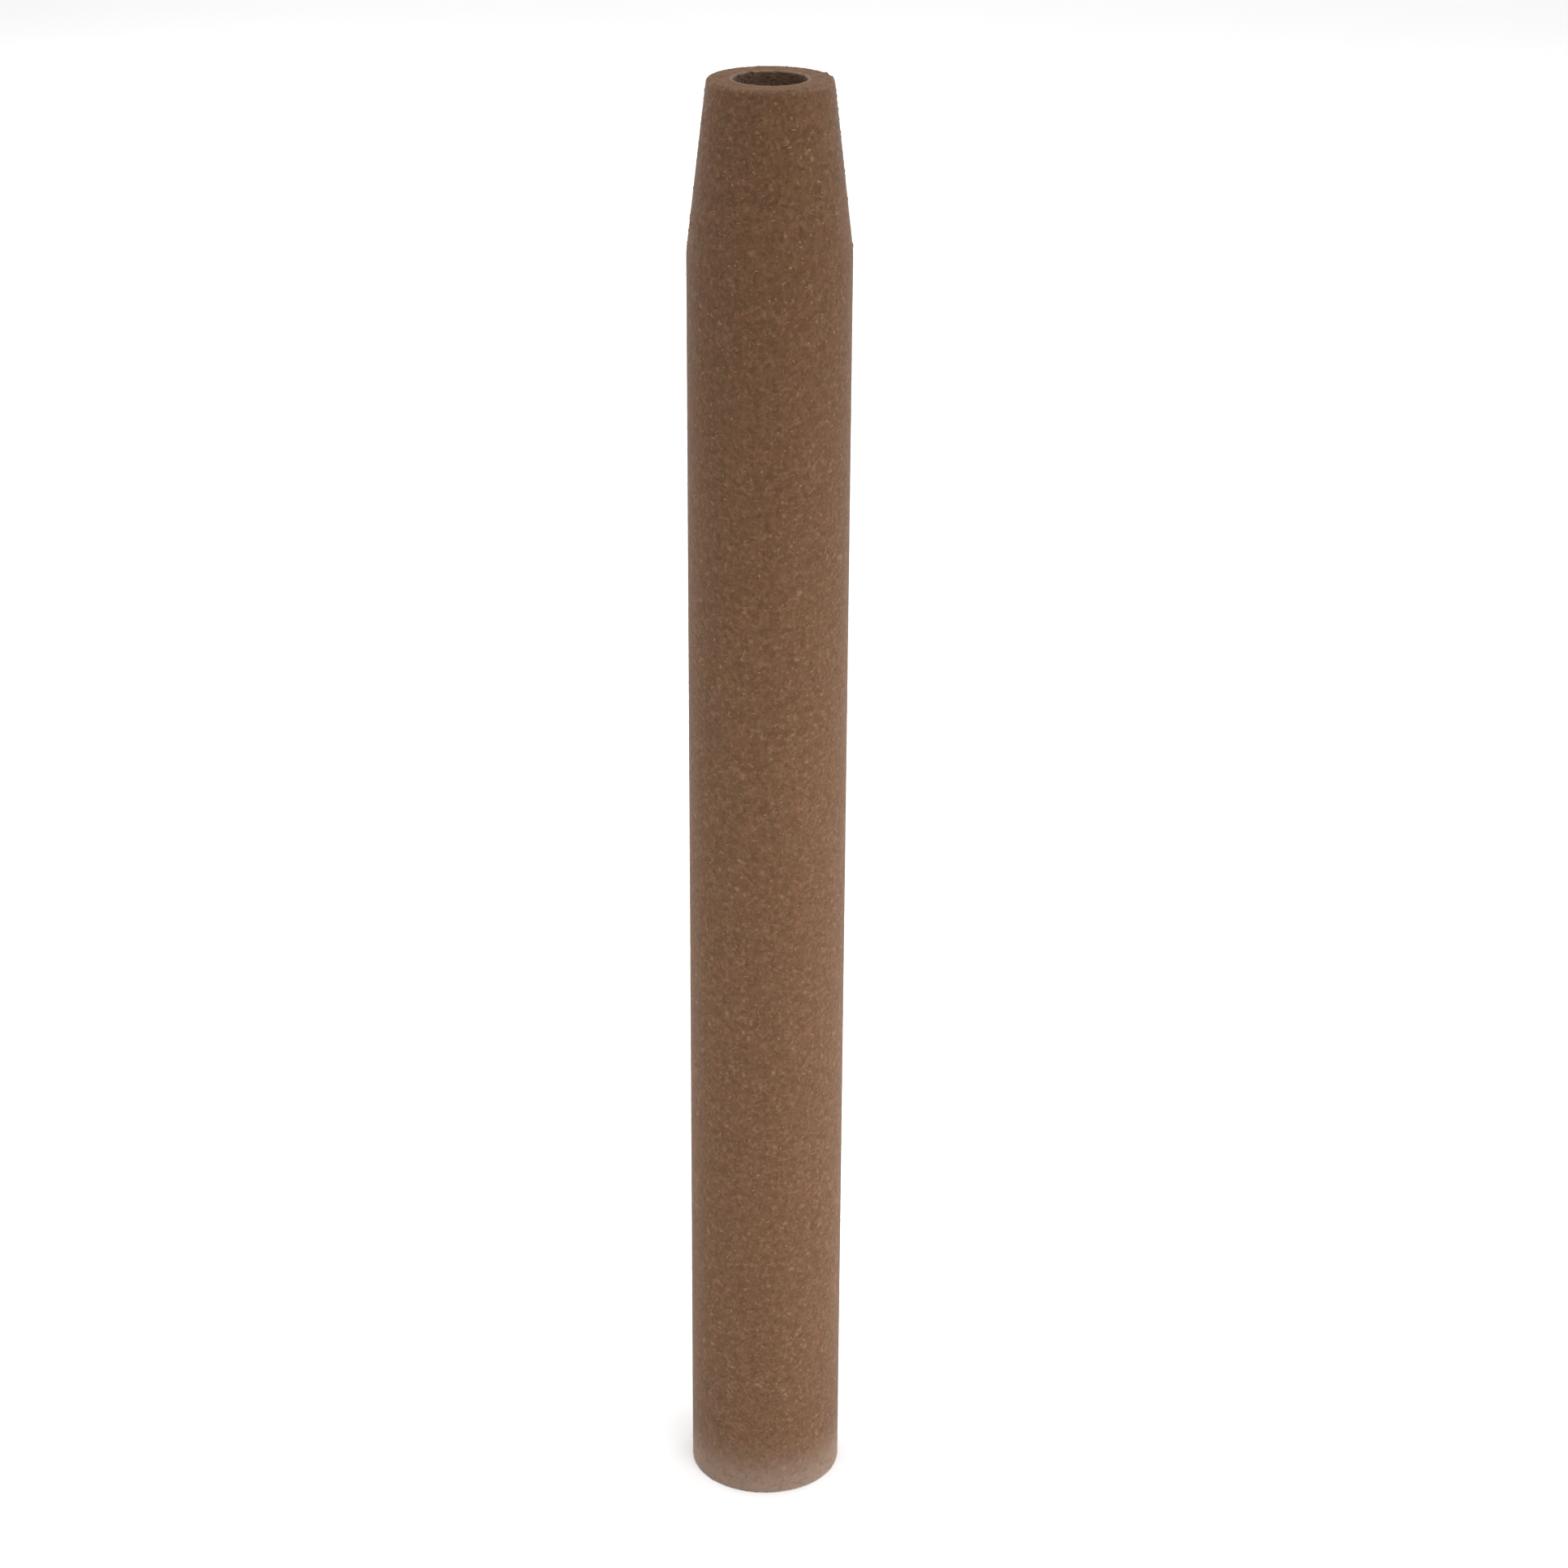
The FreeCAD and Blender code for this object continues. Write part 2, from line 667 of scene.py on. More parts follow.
        # Painted shadow: dark lines beside the fibres' curls, joined into the pit mask.
        shadow = writer.ramp(off_level(self.shadow_level), self.shadow_width, self.thread_core)
        pit = writer.largest(pit, writer.times(shadow, self.shadow_strength))
        patches = writer.noise(elsewhere(place, (2.0, 23.0, 13.0)), self.patch_scale, 1.0)
        fibre = writer.times(thread, writer.ramp(patches, *self.patch_limits))
        raised = writer.largest(fleck, fibre)
        bumps = writer.math("MULTIPLY_ADD", raised, self.bump_of_flecks, fine)
        height = writer.math("MULTIPLY_ADD", pit, self.bump_of_pits, bumps)
        for label, socket in zip(outputs, (fine, hue, fleck, fibre, pit, height)):
            writer.feed(result.inputs[label], socket)
        return writer.tree

    def build_wear_and_painted_light(self) -> Tree:
        """Rubbed edges, a pale painted glow of floor bounce light at the foot, and painted shade
        that darkens the paper towards the nose.

        Returns:
            The group, with a mask for each.
        """
        writer, given, result = grouped(
            "ShaderNodeTree",
            "worn_edges_and_painted_light",
            {
                "Vector": "NodeSocketVector",
                "Edge Width": self.edge_width,
                "Foot Height": self.foot_height,
            },
            ("Edge", "Foot", "Nose Shade"),
        )
        radius, _, _, z = writer.around_axis(given["Vector"])
        shape = self.shape
        rings = (
            (shape.nose_radius, shape.length),
            (shape.bore_radius, shape.length),
            (shape.body_radius, 0.0),
            (shape.bore_radius, 0.0),
        )
        edge = 0.0
        for ring_radius, ring_height in rings:
            distance = writer.ring_distance(radius, z, ring_radius, ring_height)
            edge = writer.largest(edge, writer.bell(distance, given["Edge Width"]))
        face = writer.ramp(z, *(shape.length - depth for depth in self.face_depths))
        edge = writer.largest(edge, writer.times(face, self.face_wear))
        broken = writer.noise(writer.scaled(given["Vector"], PER_MM), self.wear_scale, 3.0)
        worn = writer.times(edge, writer.ramp(broken, *self.wear_limits))
        # Painted light: a pale, uneven glow at the foot, for light bounced up from the floor.
        uneven = writer.math("MULTIPLY_ADD", broken, *self.foot_unevenness)
        foot = writer.times(writer.bell(z, given["Foot Height"]), uneven)
        # Painted shade: darker towards the nose, from half the length up, for less light on the
        # upper stick.
        nose_shade = writer.ramp(z, self.nose_shade_from * shape.length, shape.length)
        for socket, mask in zip(result.inputs, (worn, foot, nose_shade)):
            writer.feed(socket, mask)
        return writer.tree

    def build_rings(self) -> Tree:
        """Paste lines between the wraps, and a slightly different tone on each wrap.

        Returns:
            The group, with a line mask and a tone from -0.5 to 0.5.
        """
        inputs = {"Vector": "NodeSocketVector", "Line Width": self.line_width}
        writer, given, result = grouped(
            "ShaderNodeTree", "paste_lines", inputs, ("Line", "Wrap Tone")
        )
        radius = writer.around_axis(given["Vector"])[0]
        ragged = writer.noise(writer.scaled(given["Vector"], PER_MM), self.line_scale, 3.0)
        thickness = self.shape.wrap_thickness
        turns = writer.over(writer.minus(radius, self.shape.bore_radius), thickness)
        apart = writer.math("ABSOLUTE", writer.minus(turns, writer.math("ROUND", turns)))
        line = writer.bell(writer.times(apart, thickness), given["Line Width"])
        kept = writer.times(line, writer.ramp(ragged, *self.line_limits))
        writer.feed(result.inputs["Line"], kept)
        wrap = writer.math("FLOOR", turns)
        lot = writer.add("ShaderNodeTexWhiteNoise", {1: wrap}, noise_dimensions="1D")
        writer.feed(result.inputs["Wrap Tone"], writer.minus(lot.outputs[0], 0.5))
        return writer.tree


@dataclass(frozen=True)
class PulpFinish:
    """Matte brown pulp paper."""

    name: str
    dark: Colour = (0.094, 0.044, 0.021)
    light: Colour = (0.208, 0.112, 0.062)
    ruddy: Colour = (0.214, 0.098, 0.060)
    olive: Colour = (0.156, 0.104, 0.040)
    fleck: Colour = (0.395, 0.243, 0.140)
    fibre: Colour = (0.315, 0.189, 0.110)
    # Painted shade for the pits and the shadow lines beside the fibres.
    pit: Colour = (0.053, 0.026, 0.014)
    worn: Colour = (0.288, 0.194, 0.131)
    # Painted light: the foot's floor bounce glow.
    foot_bounce_light: Colour = FOOT_BOUNCE_LIGHT_TONE
    # Painted shade: the dark red-brown that the paper turns towards the nose.
    nose_shade: Colour = (0.058, 0.023, 0.010)
    grain_size: float = 0.6
    fleck_size: float = 0.62
    fleck_share: float = 0.5
    pit_size: float = 0.6
    pit_share: float = 0.6
    grain_contrast: float = 1.25
    hue_strength: float = 0.44
    fleck_strength: float = 0.45
    fibre_strength: float = 0.24
    pit_shade_strength: float = 0.38
    worn_strength: float = 0.5
    foot_bounce_light_strength: float = 0.5
    nose_shade_strength: float = 0.22
    line_strength: float = 0.3
    paste_strength: float = 0.75
    wrap_contrast: float = 0.05
    bump_depth: float = 0.034 * MM
    bump_of_lines: float = -0.4
    ruddy_limits: Span = (0.5, 0.72)
    olive_limits: Span = (0.5, 0.28)
    roughness: Span = (0.16, 0.82)
    specular: float = 0.12
    sheen: float = 0.10
    sheen_roughness: float = 0.45
    sheen_tint: Colour = (1.0, 0.97, 0.94)

    def material(self, groups: PaperNodes) -> Material:
        """Builds the material.

        Args:
            groups: the shared shader groups.

        Returns:
            The finished material.
        """
        made, writer, place = new_material(self.name)
        grain = writer.group(
            groups.grain,
            {
                "Vector": place,
                "Grain Size": self.grain_size,
                "Fleck Size": self.fleck_size,
                "Fleck Share": self.fleck_share,
                "Pit Size": self.pit_size,
                "Pit Share": self.pit_share,
            },
        )
        # Real rubbed edges, with painted light at the foot and painted shade towards the nose.
        wear = writer.group(groups.wear, {"Vector": place})
        rings = writer.group(groups.rings, {"Vector": place})

        centred = writer.minus(grain["Tone"], 0.5)
        tone = writer.math("MULTIPLY_ADD", centred, self.grain_contrast, 0.5)
        tone = writer.math("MULTIPLY_ADD", rings["Wrap Tone"], self.wrap_contrast, tone)
        colour = writer.blend(tone, colour4(self.dark), colour4(self.light))
        paste = writer.add("ShaderNodeAttribute", attribute_name=PASTE_MARK).outputs["Fac"]
        steps = (
            (writer.ramp(grain["Hue"], *self.ruddy_limits), self.hue_strength, self.ruddy),
            (writer.ramp(grain["Hue"], *self.olive_limits), self.hue_strength, self.olive),
            (rings["Line"], self.line_strength, self.dark),
            (paste, self.paste_strength, self.dark),
            (wear["Edge"], self.worn_strength, self.worn),
            # Painted light: lightens the foot, for light bounced up from the floor.
            (wear["Foot"], self.foot_bounce_light_strength, self.foot_bounce_light),
            # Painted shade: darkens the pits and the shadow lines beside the fibres.
            (grain["Pit"], self.pit_shade_strength, self.pit),
            (grain["Fibre"], self.fibre_strength, self.fibre),
            (grain["Fleck"], self.fleck_strength, self.fleck),
            # Painted shade: darkens the paper towards the nose.
            (wear["Nose Shade"], self.nose_shade_strength, self.nose_shade),
        )
        for mask, strength, paint in steps:
            colour = writer.blend(writer.times(mask, strength), colour, colour4(paint))

        writer.end_bumped(
            writer.math("MULTIPLY_ADD", rings["Line"], self.bump_of_lines, grain["Height"]),
            1.0,
            self.bump_depth,
            {
                "Base Color": colour,
                "Roughness": writer.math("MULTIPLY_ADD", grain["Tone"], *self.roughness),
                "Specular IOR Level": self.specular,
                "Sheen Weight": self.sheen,
                "Sheen Roughness": self.sheen_roughness,
                "Sheen Tint": colour4(self.sheen_tint),
            },
        )
        return made


@dataclass(frozen=True)
class FlakeFinish:
    """Pale fibres and granules of the pulp, each a little different."""

    name: str
    dull: Colour = (0.168, 0.088, 0.046)
    pale: Colour = (0.268, 0.156, 0.083)
    # Painted light: the foot's floor bounce glow on the flakes.
    foot_bounce_light: Colour = FOOT_BOUNCE_LIGHT_TONE
    foot_bounce_light_strength: float = 0.45
    rarity: float = 2.4
    grain_size: float = 0.25
    grain_contrast: float = 0.5
    bump_strength: float = 0.8
    bump_depth: float = 0.015 * MM
    roughness: Span = (0.2, 0.75)
    specular: float = 0.12
    sheen: float = 0.1

    def material(self, groups: PaperNodes) -> Material:
        """Builds the material.

        Args:
            groups: the shared shader groups.

        Returns:
            The finished material.
        """
        made, writer, place = new_material(self.name)
        grain = writer.group(groups.grain, {"Vector": place, "Grain Size": self.grain_size})
        own = writer.add("ShaderNodeAttribute", attribute_name=TONE_MARK).outputs["Fac"]
        contrast = self.grain_contrast
        uneven = writer.math("MULTIPLY_ADD", grain["Tone"], contrast, -0.5 * contrast)
        tone = writer.plus(writer.math("POWER", own, self.rarity), uneven)
        colour = writer.blend(tone, colour4(self.dull), colour4(self.pale))
        wear = writer.group(groups.wear, {"Vector": place})
        # Painted light: the flakes at the foot are lightened for floor bounce light.
        foot_bounce_glow = writer.times(wear["Foot"], self.foot_bounce_light_strength)
        colour = writer.blend(foot_bounce_glow, colour, colour4(self.foot_bounce_light))
        writer.end_bumped(
            grain["Height"],
            self.bump_strength,
            self.bump_depth,
            {
                "Base Color": colour,
                "Roughness": writer.math("MULTIPLY_ADD", grain["Tone"], *self.roughness),
                "Specular IOR Level": self.specular,
                "Sheen Weight": self.sheen,
            },
        )
        return made


# ---------------------------------------------------------------- the wound stick


@dataclass
class WoundStick:
    """The wraps of paper, each one turn with a pasted scarf joint, and their sanded surface."""

    shape: StickShape
    turn_steps: int = 176
    fine_step: float = 0.34 * MM
    bore_step: float = 0.8 * MM
    hidden_step: float = 6.0 * MM
    outer_joint_angle: float = math.radians(90)
    joint_stagger: float = math.radians(137.5)
    scarf_slant: float = 1.0
    outer_joint_gap: float = 0.05 * MM
    inner_joint_gap: float = 0.012 * MM
    joint_sink: float = 0.05 * MM
    sink_width: float = 0.45 * MM
    paste_width: float = 0.24 * MM
    inner_paste_shade: float = 0.1
    relief_depth: float = 0.028 * MM
    relief_size: float = 1.1 * MM
    relief_reach: float = 2 * MM
    rim_raggedness: float = 0.05 * MM
    rim_width: float = 0.45 * MM
    mouth_width: float = 0.3 * MM
    mouth_share: float = 0.7
    ragged_scale: float = 2.1
    ragged_limits: Span = (0.5, 0.72)
    nick_angle: float = math.radians(-139)
    nick_depth: float = 0.22 * MM
    nick_size: float = 0.26 * MM
    crease_angle: float = math.radians(38)
    tree: Tree = field(init=False)

    def __post_init__(self) -> None:
        """Writes the tree that turns a wrap's half section into the wrap."""
        self.tree = self.build_tree()

    def build_tree(self) -> Tree:
        """The geometry tree of one wrap: its section, swept once round the axis, then worn.

        Returns:
            The tree.
        """
        writer, given, result = grouped(
            "GeometryNodeTree",
            "turn_of_paper",
            {
                "Section": "NodeSocketGeometry",
                "Turn Steps": 64,
                "Joint Angle": 0.0,
                "Joint Gap": 0.0,
                "Joint Sink": 0.0,
                "Paste Shade": 0.0,
                "Scarf Slant": 1.0,
                "Middle Radius": 5 * MM,
                "Close Ends": True,
                "Relief Depth": 0.0,
                "Relief Size": MM,
                "Finish": "NodeSocketMaterial",
            },
            ("Geometry",),
            "NodeSocketGeometry",
        )
        x, _, z = writer.parts(writer.position())
        outline = writer.first("GeometryNodeMeshToCurve", {0: given["Section"]})
        outline = writer.stored(outline, "section_radius", x)
        outline = writer.stored(outline, "section_height", z)
        line = writer.first("GeometryNodeCurvePrimitiveLine", {"End": (0.0, 0.0, 1.0)})
        feeds = {"Curve": line, "Count": writer.plus(given["Turn Steps"], 1.0)}
        path = writer.first("GeometryNodeResampleCurve", feeds)
        share = writer.add("GeometryNodeSplineParameter").outputs["Factor"]
        path = writer.stored(path, "turn", share)
        feeds = {"Curve": path, "Profile Curve": outline, "Fill Caps": given["Close Ends"]}
        swept = writer.first("GeometryNodeCurveToMesh", feeds)

        radius, height, turn = map(writer.recalled, ("section_radius", "section_height", "turn"))
        middle = given["Middle Radius"]
        gap = writer.over(given["Joint Gap"], middle)
        sweep = writer.minus(math.tau, gap)
        from_joint = writer.math("MULTIPLY_ADD", turn, sweep, writer.times(gap, 0.5))
        off_middle = writer.over(writer.minus(radius, middle), radius)
        slant = writer.times(off_middle, given["Scarf Slant"])
        angle = writer.plus(from_joint, given["Joint Angle"], slant)
        outward = writer.joined(writer.math("COSINE", angle), writer.math("SINE", angle), 0.0)
        level = writer.joined(0.0, 0.0, height)
        place = writer.vector("ADD", writer.scaled(outward, radius), level)
        inward, down = self.write_wear(writer, given, place, radius, height)
        from_seam = writer.times(writer.math("PINGPONG", from_joint, math.pi), radius)
        paste = writer.times(writer.bell(from_seam, self.paste_width), given["Paste Shade"])
        pasted = writer.stored(swept, PASTE_MARK, paste)
        sink = writer.times(writer.bell(from_seam, self.sink_width), given["Joint Sink"])
        moved = writer.vector("SUBTRACT", place, writer.scaled(outward, writer.plus(inward, sink)))
        moved = writer.vector("SUBTRACT", moved, writer.joined(0.0, 0.0, down))
        feeds = {"Geometry": pasted, "Position": moved}
        shaped = writer.first("GeometryNodeSetPosition", feeds)
        outfacing = writer.first("GeometryNodeFlipFaces", {0: shaped})
        return writer.finish_tree(result, outfacing, given["Finish"])

    def write_wear(
        self,
        writer: NodeWriter,
        given: bpy.types.NodeOutputs,
        place: Value,
        radius: Value,
        height: Value,
    ) -> tuple[Socket, Socket]:
        """Writes how far wear takes the surface in and down, from its place alone.

        Neighbouring wraps share the same wear where they meet, so they stay flush.

        Args:
            writer: the tree's writer.
            given: the tree's inputs.
            place: the unworn place of a point.
            radius: its distance from the axis.
            height: its height.

        Returns:
            The moves towards the axis and down.
        """
        shape = self.shape
        scale = writer.over(1.0, given["Relief Size"])
        lump_in, lump_out, lump_down = writer.parts(writer.noise(place, scale, 2.0, output="Color"))
        rag = writer.noise(place, writer.times(scale, self.ragged_scale), 1.0)
        reach = self.relief_reach
        near_outside = writer.ramp(radius, shape.bore_radius, shape.bore_radius + reach)
        worn_out = writer.times(lump_in, near_outside)
        worn_in = writer.times(lump_out, writer.minus(1.0, near_outside))
        inward = writer.times(writer.minus(worn_out, worn_in), given["Relief Depth"])
        near_top = writer.ramp(height, shape.length - reach, shape.length)
        ends = writer.minus(near_top, writer.ramp(height, reach, 0.0))
        down = writer.times(lump_down, writer.times(ends, given["Relief Depth"]))

        def ring_loss(ring_radius: float, width: float, depth: float) -> Socket:
            """How much of an uneven ring round the flat end has worn off."""
            distance = writer.ring_distance(radius, height, ring_radius, shape.length)
            return writer.times(writer.bell(distance, width), ragged, depth)

        ragged = writer.ramp(rag, *self.ragged_limits)
        mouth_depth = self.mouth_share * self.rim_raggedness
        rim_loss = ring_loss(shape.nose_radius, self.rim_width, self.rim_raggedness)
        mouth_loss = ring_loss(shape.bore_radius, self.mouth_width, mouth_depth)
        nick_place = (
            shape.nose_radius * math.cos(self.nick_angle),
            shape.nose_radius * math.sin(self.nick_angle),
            shape.length,
        )
        from_nick = writer.length(writer.vector("SUBTRACT", place, nick_place))
        nick_loss = writer.times(writer.bell(from_nick, self.nick_size), self.nick_depth)
        inward = writer.plus(inward, writer.plus(rim_loss, nick_loss))
        losses = writer.plus(rim_loss, mouth_loss, nick_loss)
        return writer.minus(inward, mouth_loss), writer.plus(down, losses)

    def section(self, inner: float, outer: float) -> bpy.types.Mesh:
        """The half section between two radii, as a closed loop of edges.

        Args:
            inner: the stretch's inner radius.
            outer: the stretch's outer radius.

        Returns:
            The loop in the XZ plane.
        """
        shape = self.shape
        base = filled_in(between(shape.base(), inner, outer), self.fine_step)
        crown = filled_in(between(shape.crown(), inner, outer), self.fine_step)[::-1]
        outside_shows = math.isclose(outer, shape.body_radius)
        bore_shows = math.isclose(inner, shape.bore_radius)
        rise_step = self.fine_step if outside_shows else self.hidden_step
        fall_step = self.bore_step if bore_shows else self.hidden_step
        rise = filled_in(np.array([base[-1], crown[0]]), rise_step)
        fall = filled_in(np.array([crown[-1], base[0]]), fall_step)
        loop = np.vstack([base, rise[1:], crown[1:], fall[1:-1]])
        corners = [(radius, 0.0, height) for radius, height in loop]
        edges = [(n, (n + 1) % len(corners)) for n in range(len(corners))]
        mesh = bpy.data.meshes.new("section")
        mesh.from_pydata(corners, edges, [])
        return mesh

    def turned(
        self, name: str, inner: float, outer: float, finish: Material, **settings: Any
    ) -> Object:
        """Sweeps the wall between two radii once round the axis.

        Args:
            name: the object's name.
            inner: the inner radius.
            outer: the outer radius.
            finish: its material.
            **settings: tree inputs that differ, with _ for a space.

        Returns:
            The finished mesh object.
        """
        values = {
            "Turn Steps": self.turn_steps,
            "Scarf Slant": self.scarf_slant,
            "Middle Radius": (inner + outer) / 2,
            "Relief Depth": self.relief_depth,
            "Relief Size": self.relief_size,
            "Finish": finish,
        }
        values.update({key.replace("_", " "): value for key, value in settings.items()})
        return baked_mesh(name, self.section(inner, outer), self.tree, values)

    def wrap_name(self, number: int) -> str:
        """The frame's name for a wrap, counted from 1 at the bore."""
        named = {1: "core_wrap", self.shape.wrap_count: "outer_wrap"}
        return named.get(number, f"wrap_{number:02d}")

    def build(self, finishes: dict[Paper, Material]) -> None:
        """Makes every wrap and puts it in its node's place.

        Args:
            finishes: the material of each kind of paper.
        """
        shape = self.shape
        kinds = {1: Paper.BORE, shape.wrap_count: Paper.BARREL}
        for number in range(1, shape.wrap_count + 1):
            inner = shape.bore_radius + (number - 1) * shape.wrap_thickness
            outermost = number == shape.wrap_count
            outer = shape.body_radius if outermost else inner + shape.wrap_thickness
            name = self.wrap_name(number)
            stagger = (shape.wrap_count - number) * self.joint_stagger
            piece = self.turned(
                name.replace("wrap", "paper"),
                inner,
                outer,
                finishes[kinds.get(number, Paper.NOSE)],
                Joint_Angle=self.outer_joint_angle + stagger,
                Joint_Gap=self.outer_joint_gap if outermost else self.inner_joint_gap,
                Joint_Sink=self.joint_sink if outermost else 0.0,
                Paste_Shade=1.0 if outermost else self.inner_paste_shade,
            )
            piece.data.set_sharp_from_angle(angle=self.crease_angle)
            set_on_body(piece, name)

    def skin(self) -> Object:
        """The whole worn surface as one open mesh, for scattering flakes on."""
        shape = self.shape
        return self.turned("skin", shape.bore_radius, shape.body_radius, None, Close_Ends=False)


@dataclass
class Scatter:
    """Pale fibres and granules that lie half sunk in the stick's surface."""

    shape: StickShape
    fibre_density: float = 0.34 / MM**2
    fibre_length: Span = (0.20 * MM, 0.52 * MM)
    fibre_radius: float = 0.078 * MM
    fibre_tip: float = 0.25
    fibre_points: int = 6
    fibre_sides: int = 3
    curl: float = 0.26 * MM
    curl_size: float = 0.42 * MM
    granule_density: float = 0.60 / MM**2
    granule_size: Span = (0.10 * MM, 0.21 * MM)
    granule_squeeze: Span = (0.35, 0.8)
    granule_flatness: float = 0.3
    fibre_seed: int = 7
    granule_seed: int = 23
    bore_reach: float = 9 * MM
    bore_margin: float = 0.1 * MM
    box_margin: float = 0.004 * MM

    def start(self, flake: Flake) -> tuple[NodeWriter, bpy.types.NodeOutputs, Node, Node]:
        """Begins a tree that scatters points over the surface that shows.

        Args:
            flake: which flakes the tree makes.

        Returns:
            The writer, the tree's inputs, its output node, and the scattering node.
        """
        writer, given, result = grouped(
            "GeometryNodeTree",
            flake.value,
            {
                "Surface": "NodeSocketGeometry",
                "Density": 1.0,
                "Seed": 1,
                "Smallest": 0.1 * MM,
                "Largest": 0.3 * MM,
                "Finish": "NodeSocketMaterial",
            },
            ("Geometry",),
            "NodeSocketGeometry",
        )
        radius, _, _, z = writer.around_axis(writer.position())
        outside = writer.math("GREATER_THAN", radius, self.shape.bore_radius + self.bore_margin)
        near_top = writer.math("GREATER_THAN", z, self.shape.length - self.bore_reach)
        near_foot = writer.math("LESS_THAN", z, self.bore_reach)
        shows = writer.largest(outside, writer.largest(near_top, near_foot))
        feeds = {"Mesh": given["Surface"], "Selection": shows, "Seed": given["Seed"]}
        points = writer.add(
            "GeometryNodeDistributePointsOnFaces", feeds, distribute_method="RANDOM"
        )
        writer.feed(points.inputs["Density"], given["Density"])
        return writer, given, result, points

    def random(self, writer: NodeWriter, low: Value, high: Value, draw: Draw) -> Socket:
        """A random number for each point, from low to high."""
        feeds = {2: low, 3: high, 8: draw.value}
        return writer.add("FunctionNodeRandomValue", feeds, data_type="FLOAT").outputs[1]

    def held_in(self, writer: NodeWriter, mesh: Value) -> Socket:
        """Keeps the flakes inside the stick's own box.

        Args:
            writer: the tree's writer.
            mesh: the flakes so far.

        Returns:
            The flakes, pulled in where they stood out.
        """
        radius, x, y, z = writer.around_axis(writer.position())
        most = self.shape.body_radius - self.box_margin
        pull = writer.over(writer.math("MINIMUM", radius, most), radius)
        lowered = writer.math("MINIMUM", z, self.shape.length - self.box_margin)
        level = writer.largest(lowered, self.box_margin)
        held = writer.joined(writer.times(x, pull), writer.times(y, pull), level)
        return writer.first("GeometryNodeSetPosition", {"Geometry": mesh, "Position": held})

    def laid(self, writer: NodeWriter, points: Node, shape: Value, scale: Value) -> Socket:
        """Puts a copy of a shape flat on the surface at each point, turned at random.

        Args:
            writer: the tree's writer.
            points: the scattering node.
            shape: the shape to copy, lying along X with Z up.
            scale: each copy's scale.

        Returns:
            The copies, made real.
        """
        tone = self.random(writer, 0.0, 1.0, Draw.TONE)
        marked = writer.stored(points.outputs["Points"], TONE_MARK, tone)
        marked = writer.stored(marked, UP_MARK, points.outputs["Normal"], "FLOAT_VECTOR")
        turn = self.random(writer, 0.0, math.tau, Draw.TURN)
        feeds = {"Axis": (0.0, 0.0, 1.0), "Angle": turn}
        spin = writer.first("FunctionNodeAxisAngleToRotation", feeds)
        feeds = {0: points.outputs["Rotation"], 1: spin}
        turned = writer.first("FunctionNodeRotateRotation", feeds, rotation_space="LOCAL")
        feeds = {"Points": marked, "Instance": shape, "Rotation": turned, "Scale": scale}
        copies = writer.first("GeometryNodeInstanceOnPoints", feeds)
        return writer.first("GeometryNodeRealizeInstances", {0: copies})

    def fibre_tree(self) -> Tree:
        """Short curled fibres: lines laid on the surface, bent, then given a tapered body.

        Returns:
            The tree.
        """
        writer, given, result, points = self.start(Flake.FIBRE)
        feeds = {"Start": (-0.5, 0.0, 0.0), "End": (0.5, 0.0, 0.0)}
        line = writer.first("GeometryNodeCurvePrimitiveLine", feeds)
        feeds = {"Curve": line, "Count": self.fibre_points}
        line = writer.first("GeometryNodeResampleCurve", feeds)
        length = self.random(writer, given["Smallest"], given["Largest"], Draw.LENGTH)
        lines = self.laid(writer, points, line, writer.joined(length, length, length))

        place = writer.position()
        wander = writer.noise(place, 1 / self.curl_size, 1.0, output="Color")
        bend = writer.scaled(writer.vector("SUBTRACT", wander, (0.5, 0.5, 0.5)), 2 * self.curl)
        up = writer.recalled(UP_MARK, "FLOAT_VECTOR")
        along_up = writer.add("ShaderNodeVectorMath", {0: bend, 1: up}, operation="DOT_PRODUCT")
        flat = writer.vector("SUBTRACT", bend, writer.scaled(up, along_up.outputs["Value"]))
        bent = writer.first("GeometryNodeSetPosition", {"Geometry": lines, "Offset": flat})
        share = writer.add("GeometryNodeSplineParameter").outputs["Factor"]
        from_middle = writer.times(writer.minus(share, 0.5), 2.0)
        taper = writer.math("POWER", writer.math("ABSOLUTE", from_middle), 3.0)
        thinning = (self.fibre_tip - 1) * self.fibre_radius
        feeds = {"Resolution": self.fibre_sides, "Radius": 1.0}
        profile = writer.add("GeometryNodeCurvePrimitiveCircle", feeds).outputs["Curve"]
        feeds = {
            "Curve": bent,
            "Profile Curve": profile,
            "Scale": writer.math("MULTIPLY_ADD", taper, thinning, self.fibre_radius),
            "Fill Caps": True,
        }
        body = writer.first("GeometryNodeCurveToMesh", feeds)
        return writer.finish_tree(result, self.held_in(writer, body), given["Finish"])

    def granule_tree(self) -> Tree:
        """Flat pale granules.

        Returns:
            The tree.
        """
        writer, given, result, points = self.start(Flake.GRANULE)
        feeds = {"Radius": 1.0, "Subdivisions": 1}
        ball = writer.first("GeometryNodeMeshIcoSphere", feeds)
        width = self.random(writer, given["Smallest"], given["Largest"], Draw.WIDTH)
        squeeze = self.random(writer, *self.granule_squeeze, Draw.SQUEEZE)
        depth = writer.times(width, squeeze)
        scale = writer.joined(width, depth, writer.times(width, self.granule_flatness))
        granules = self.laid(writer, points, ball, scale)
        return writer.finish_tree(result, self.held_in(writer, granules), given["Finish"])

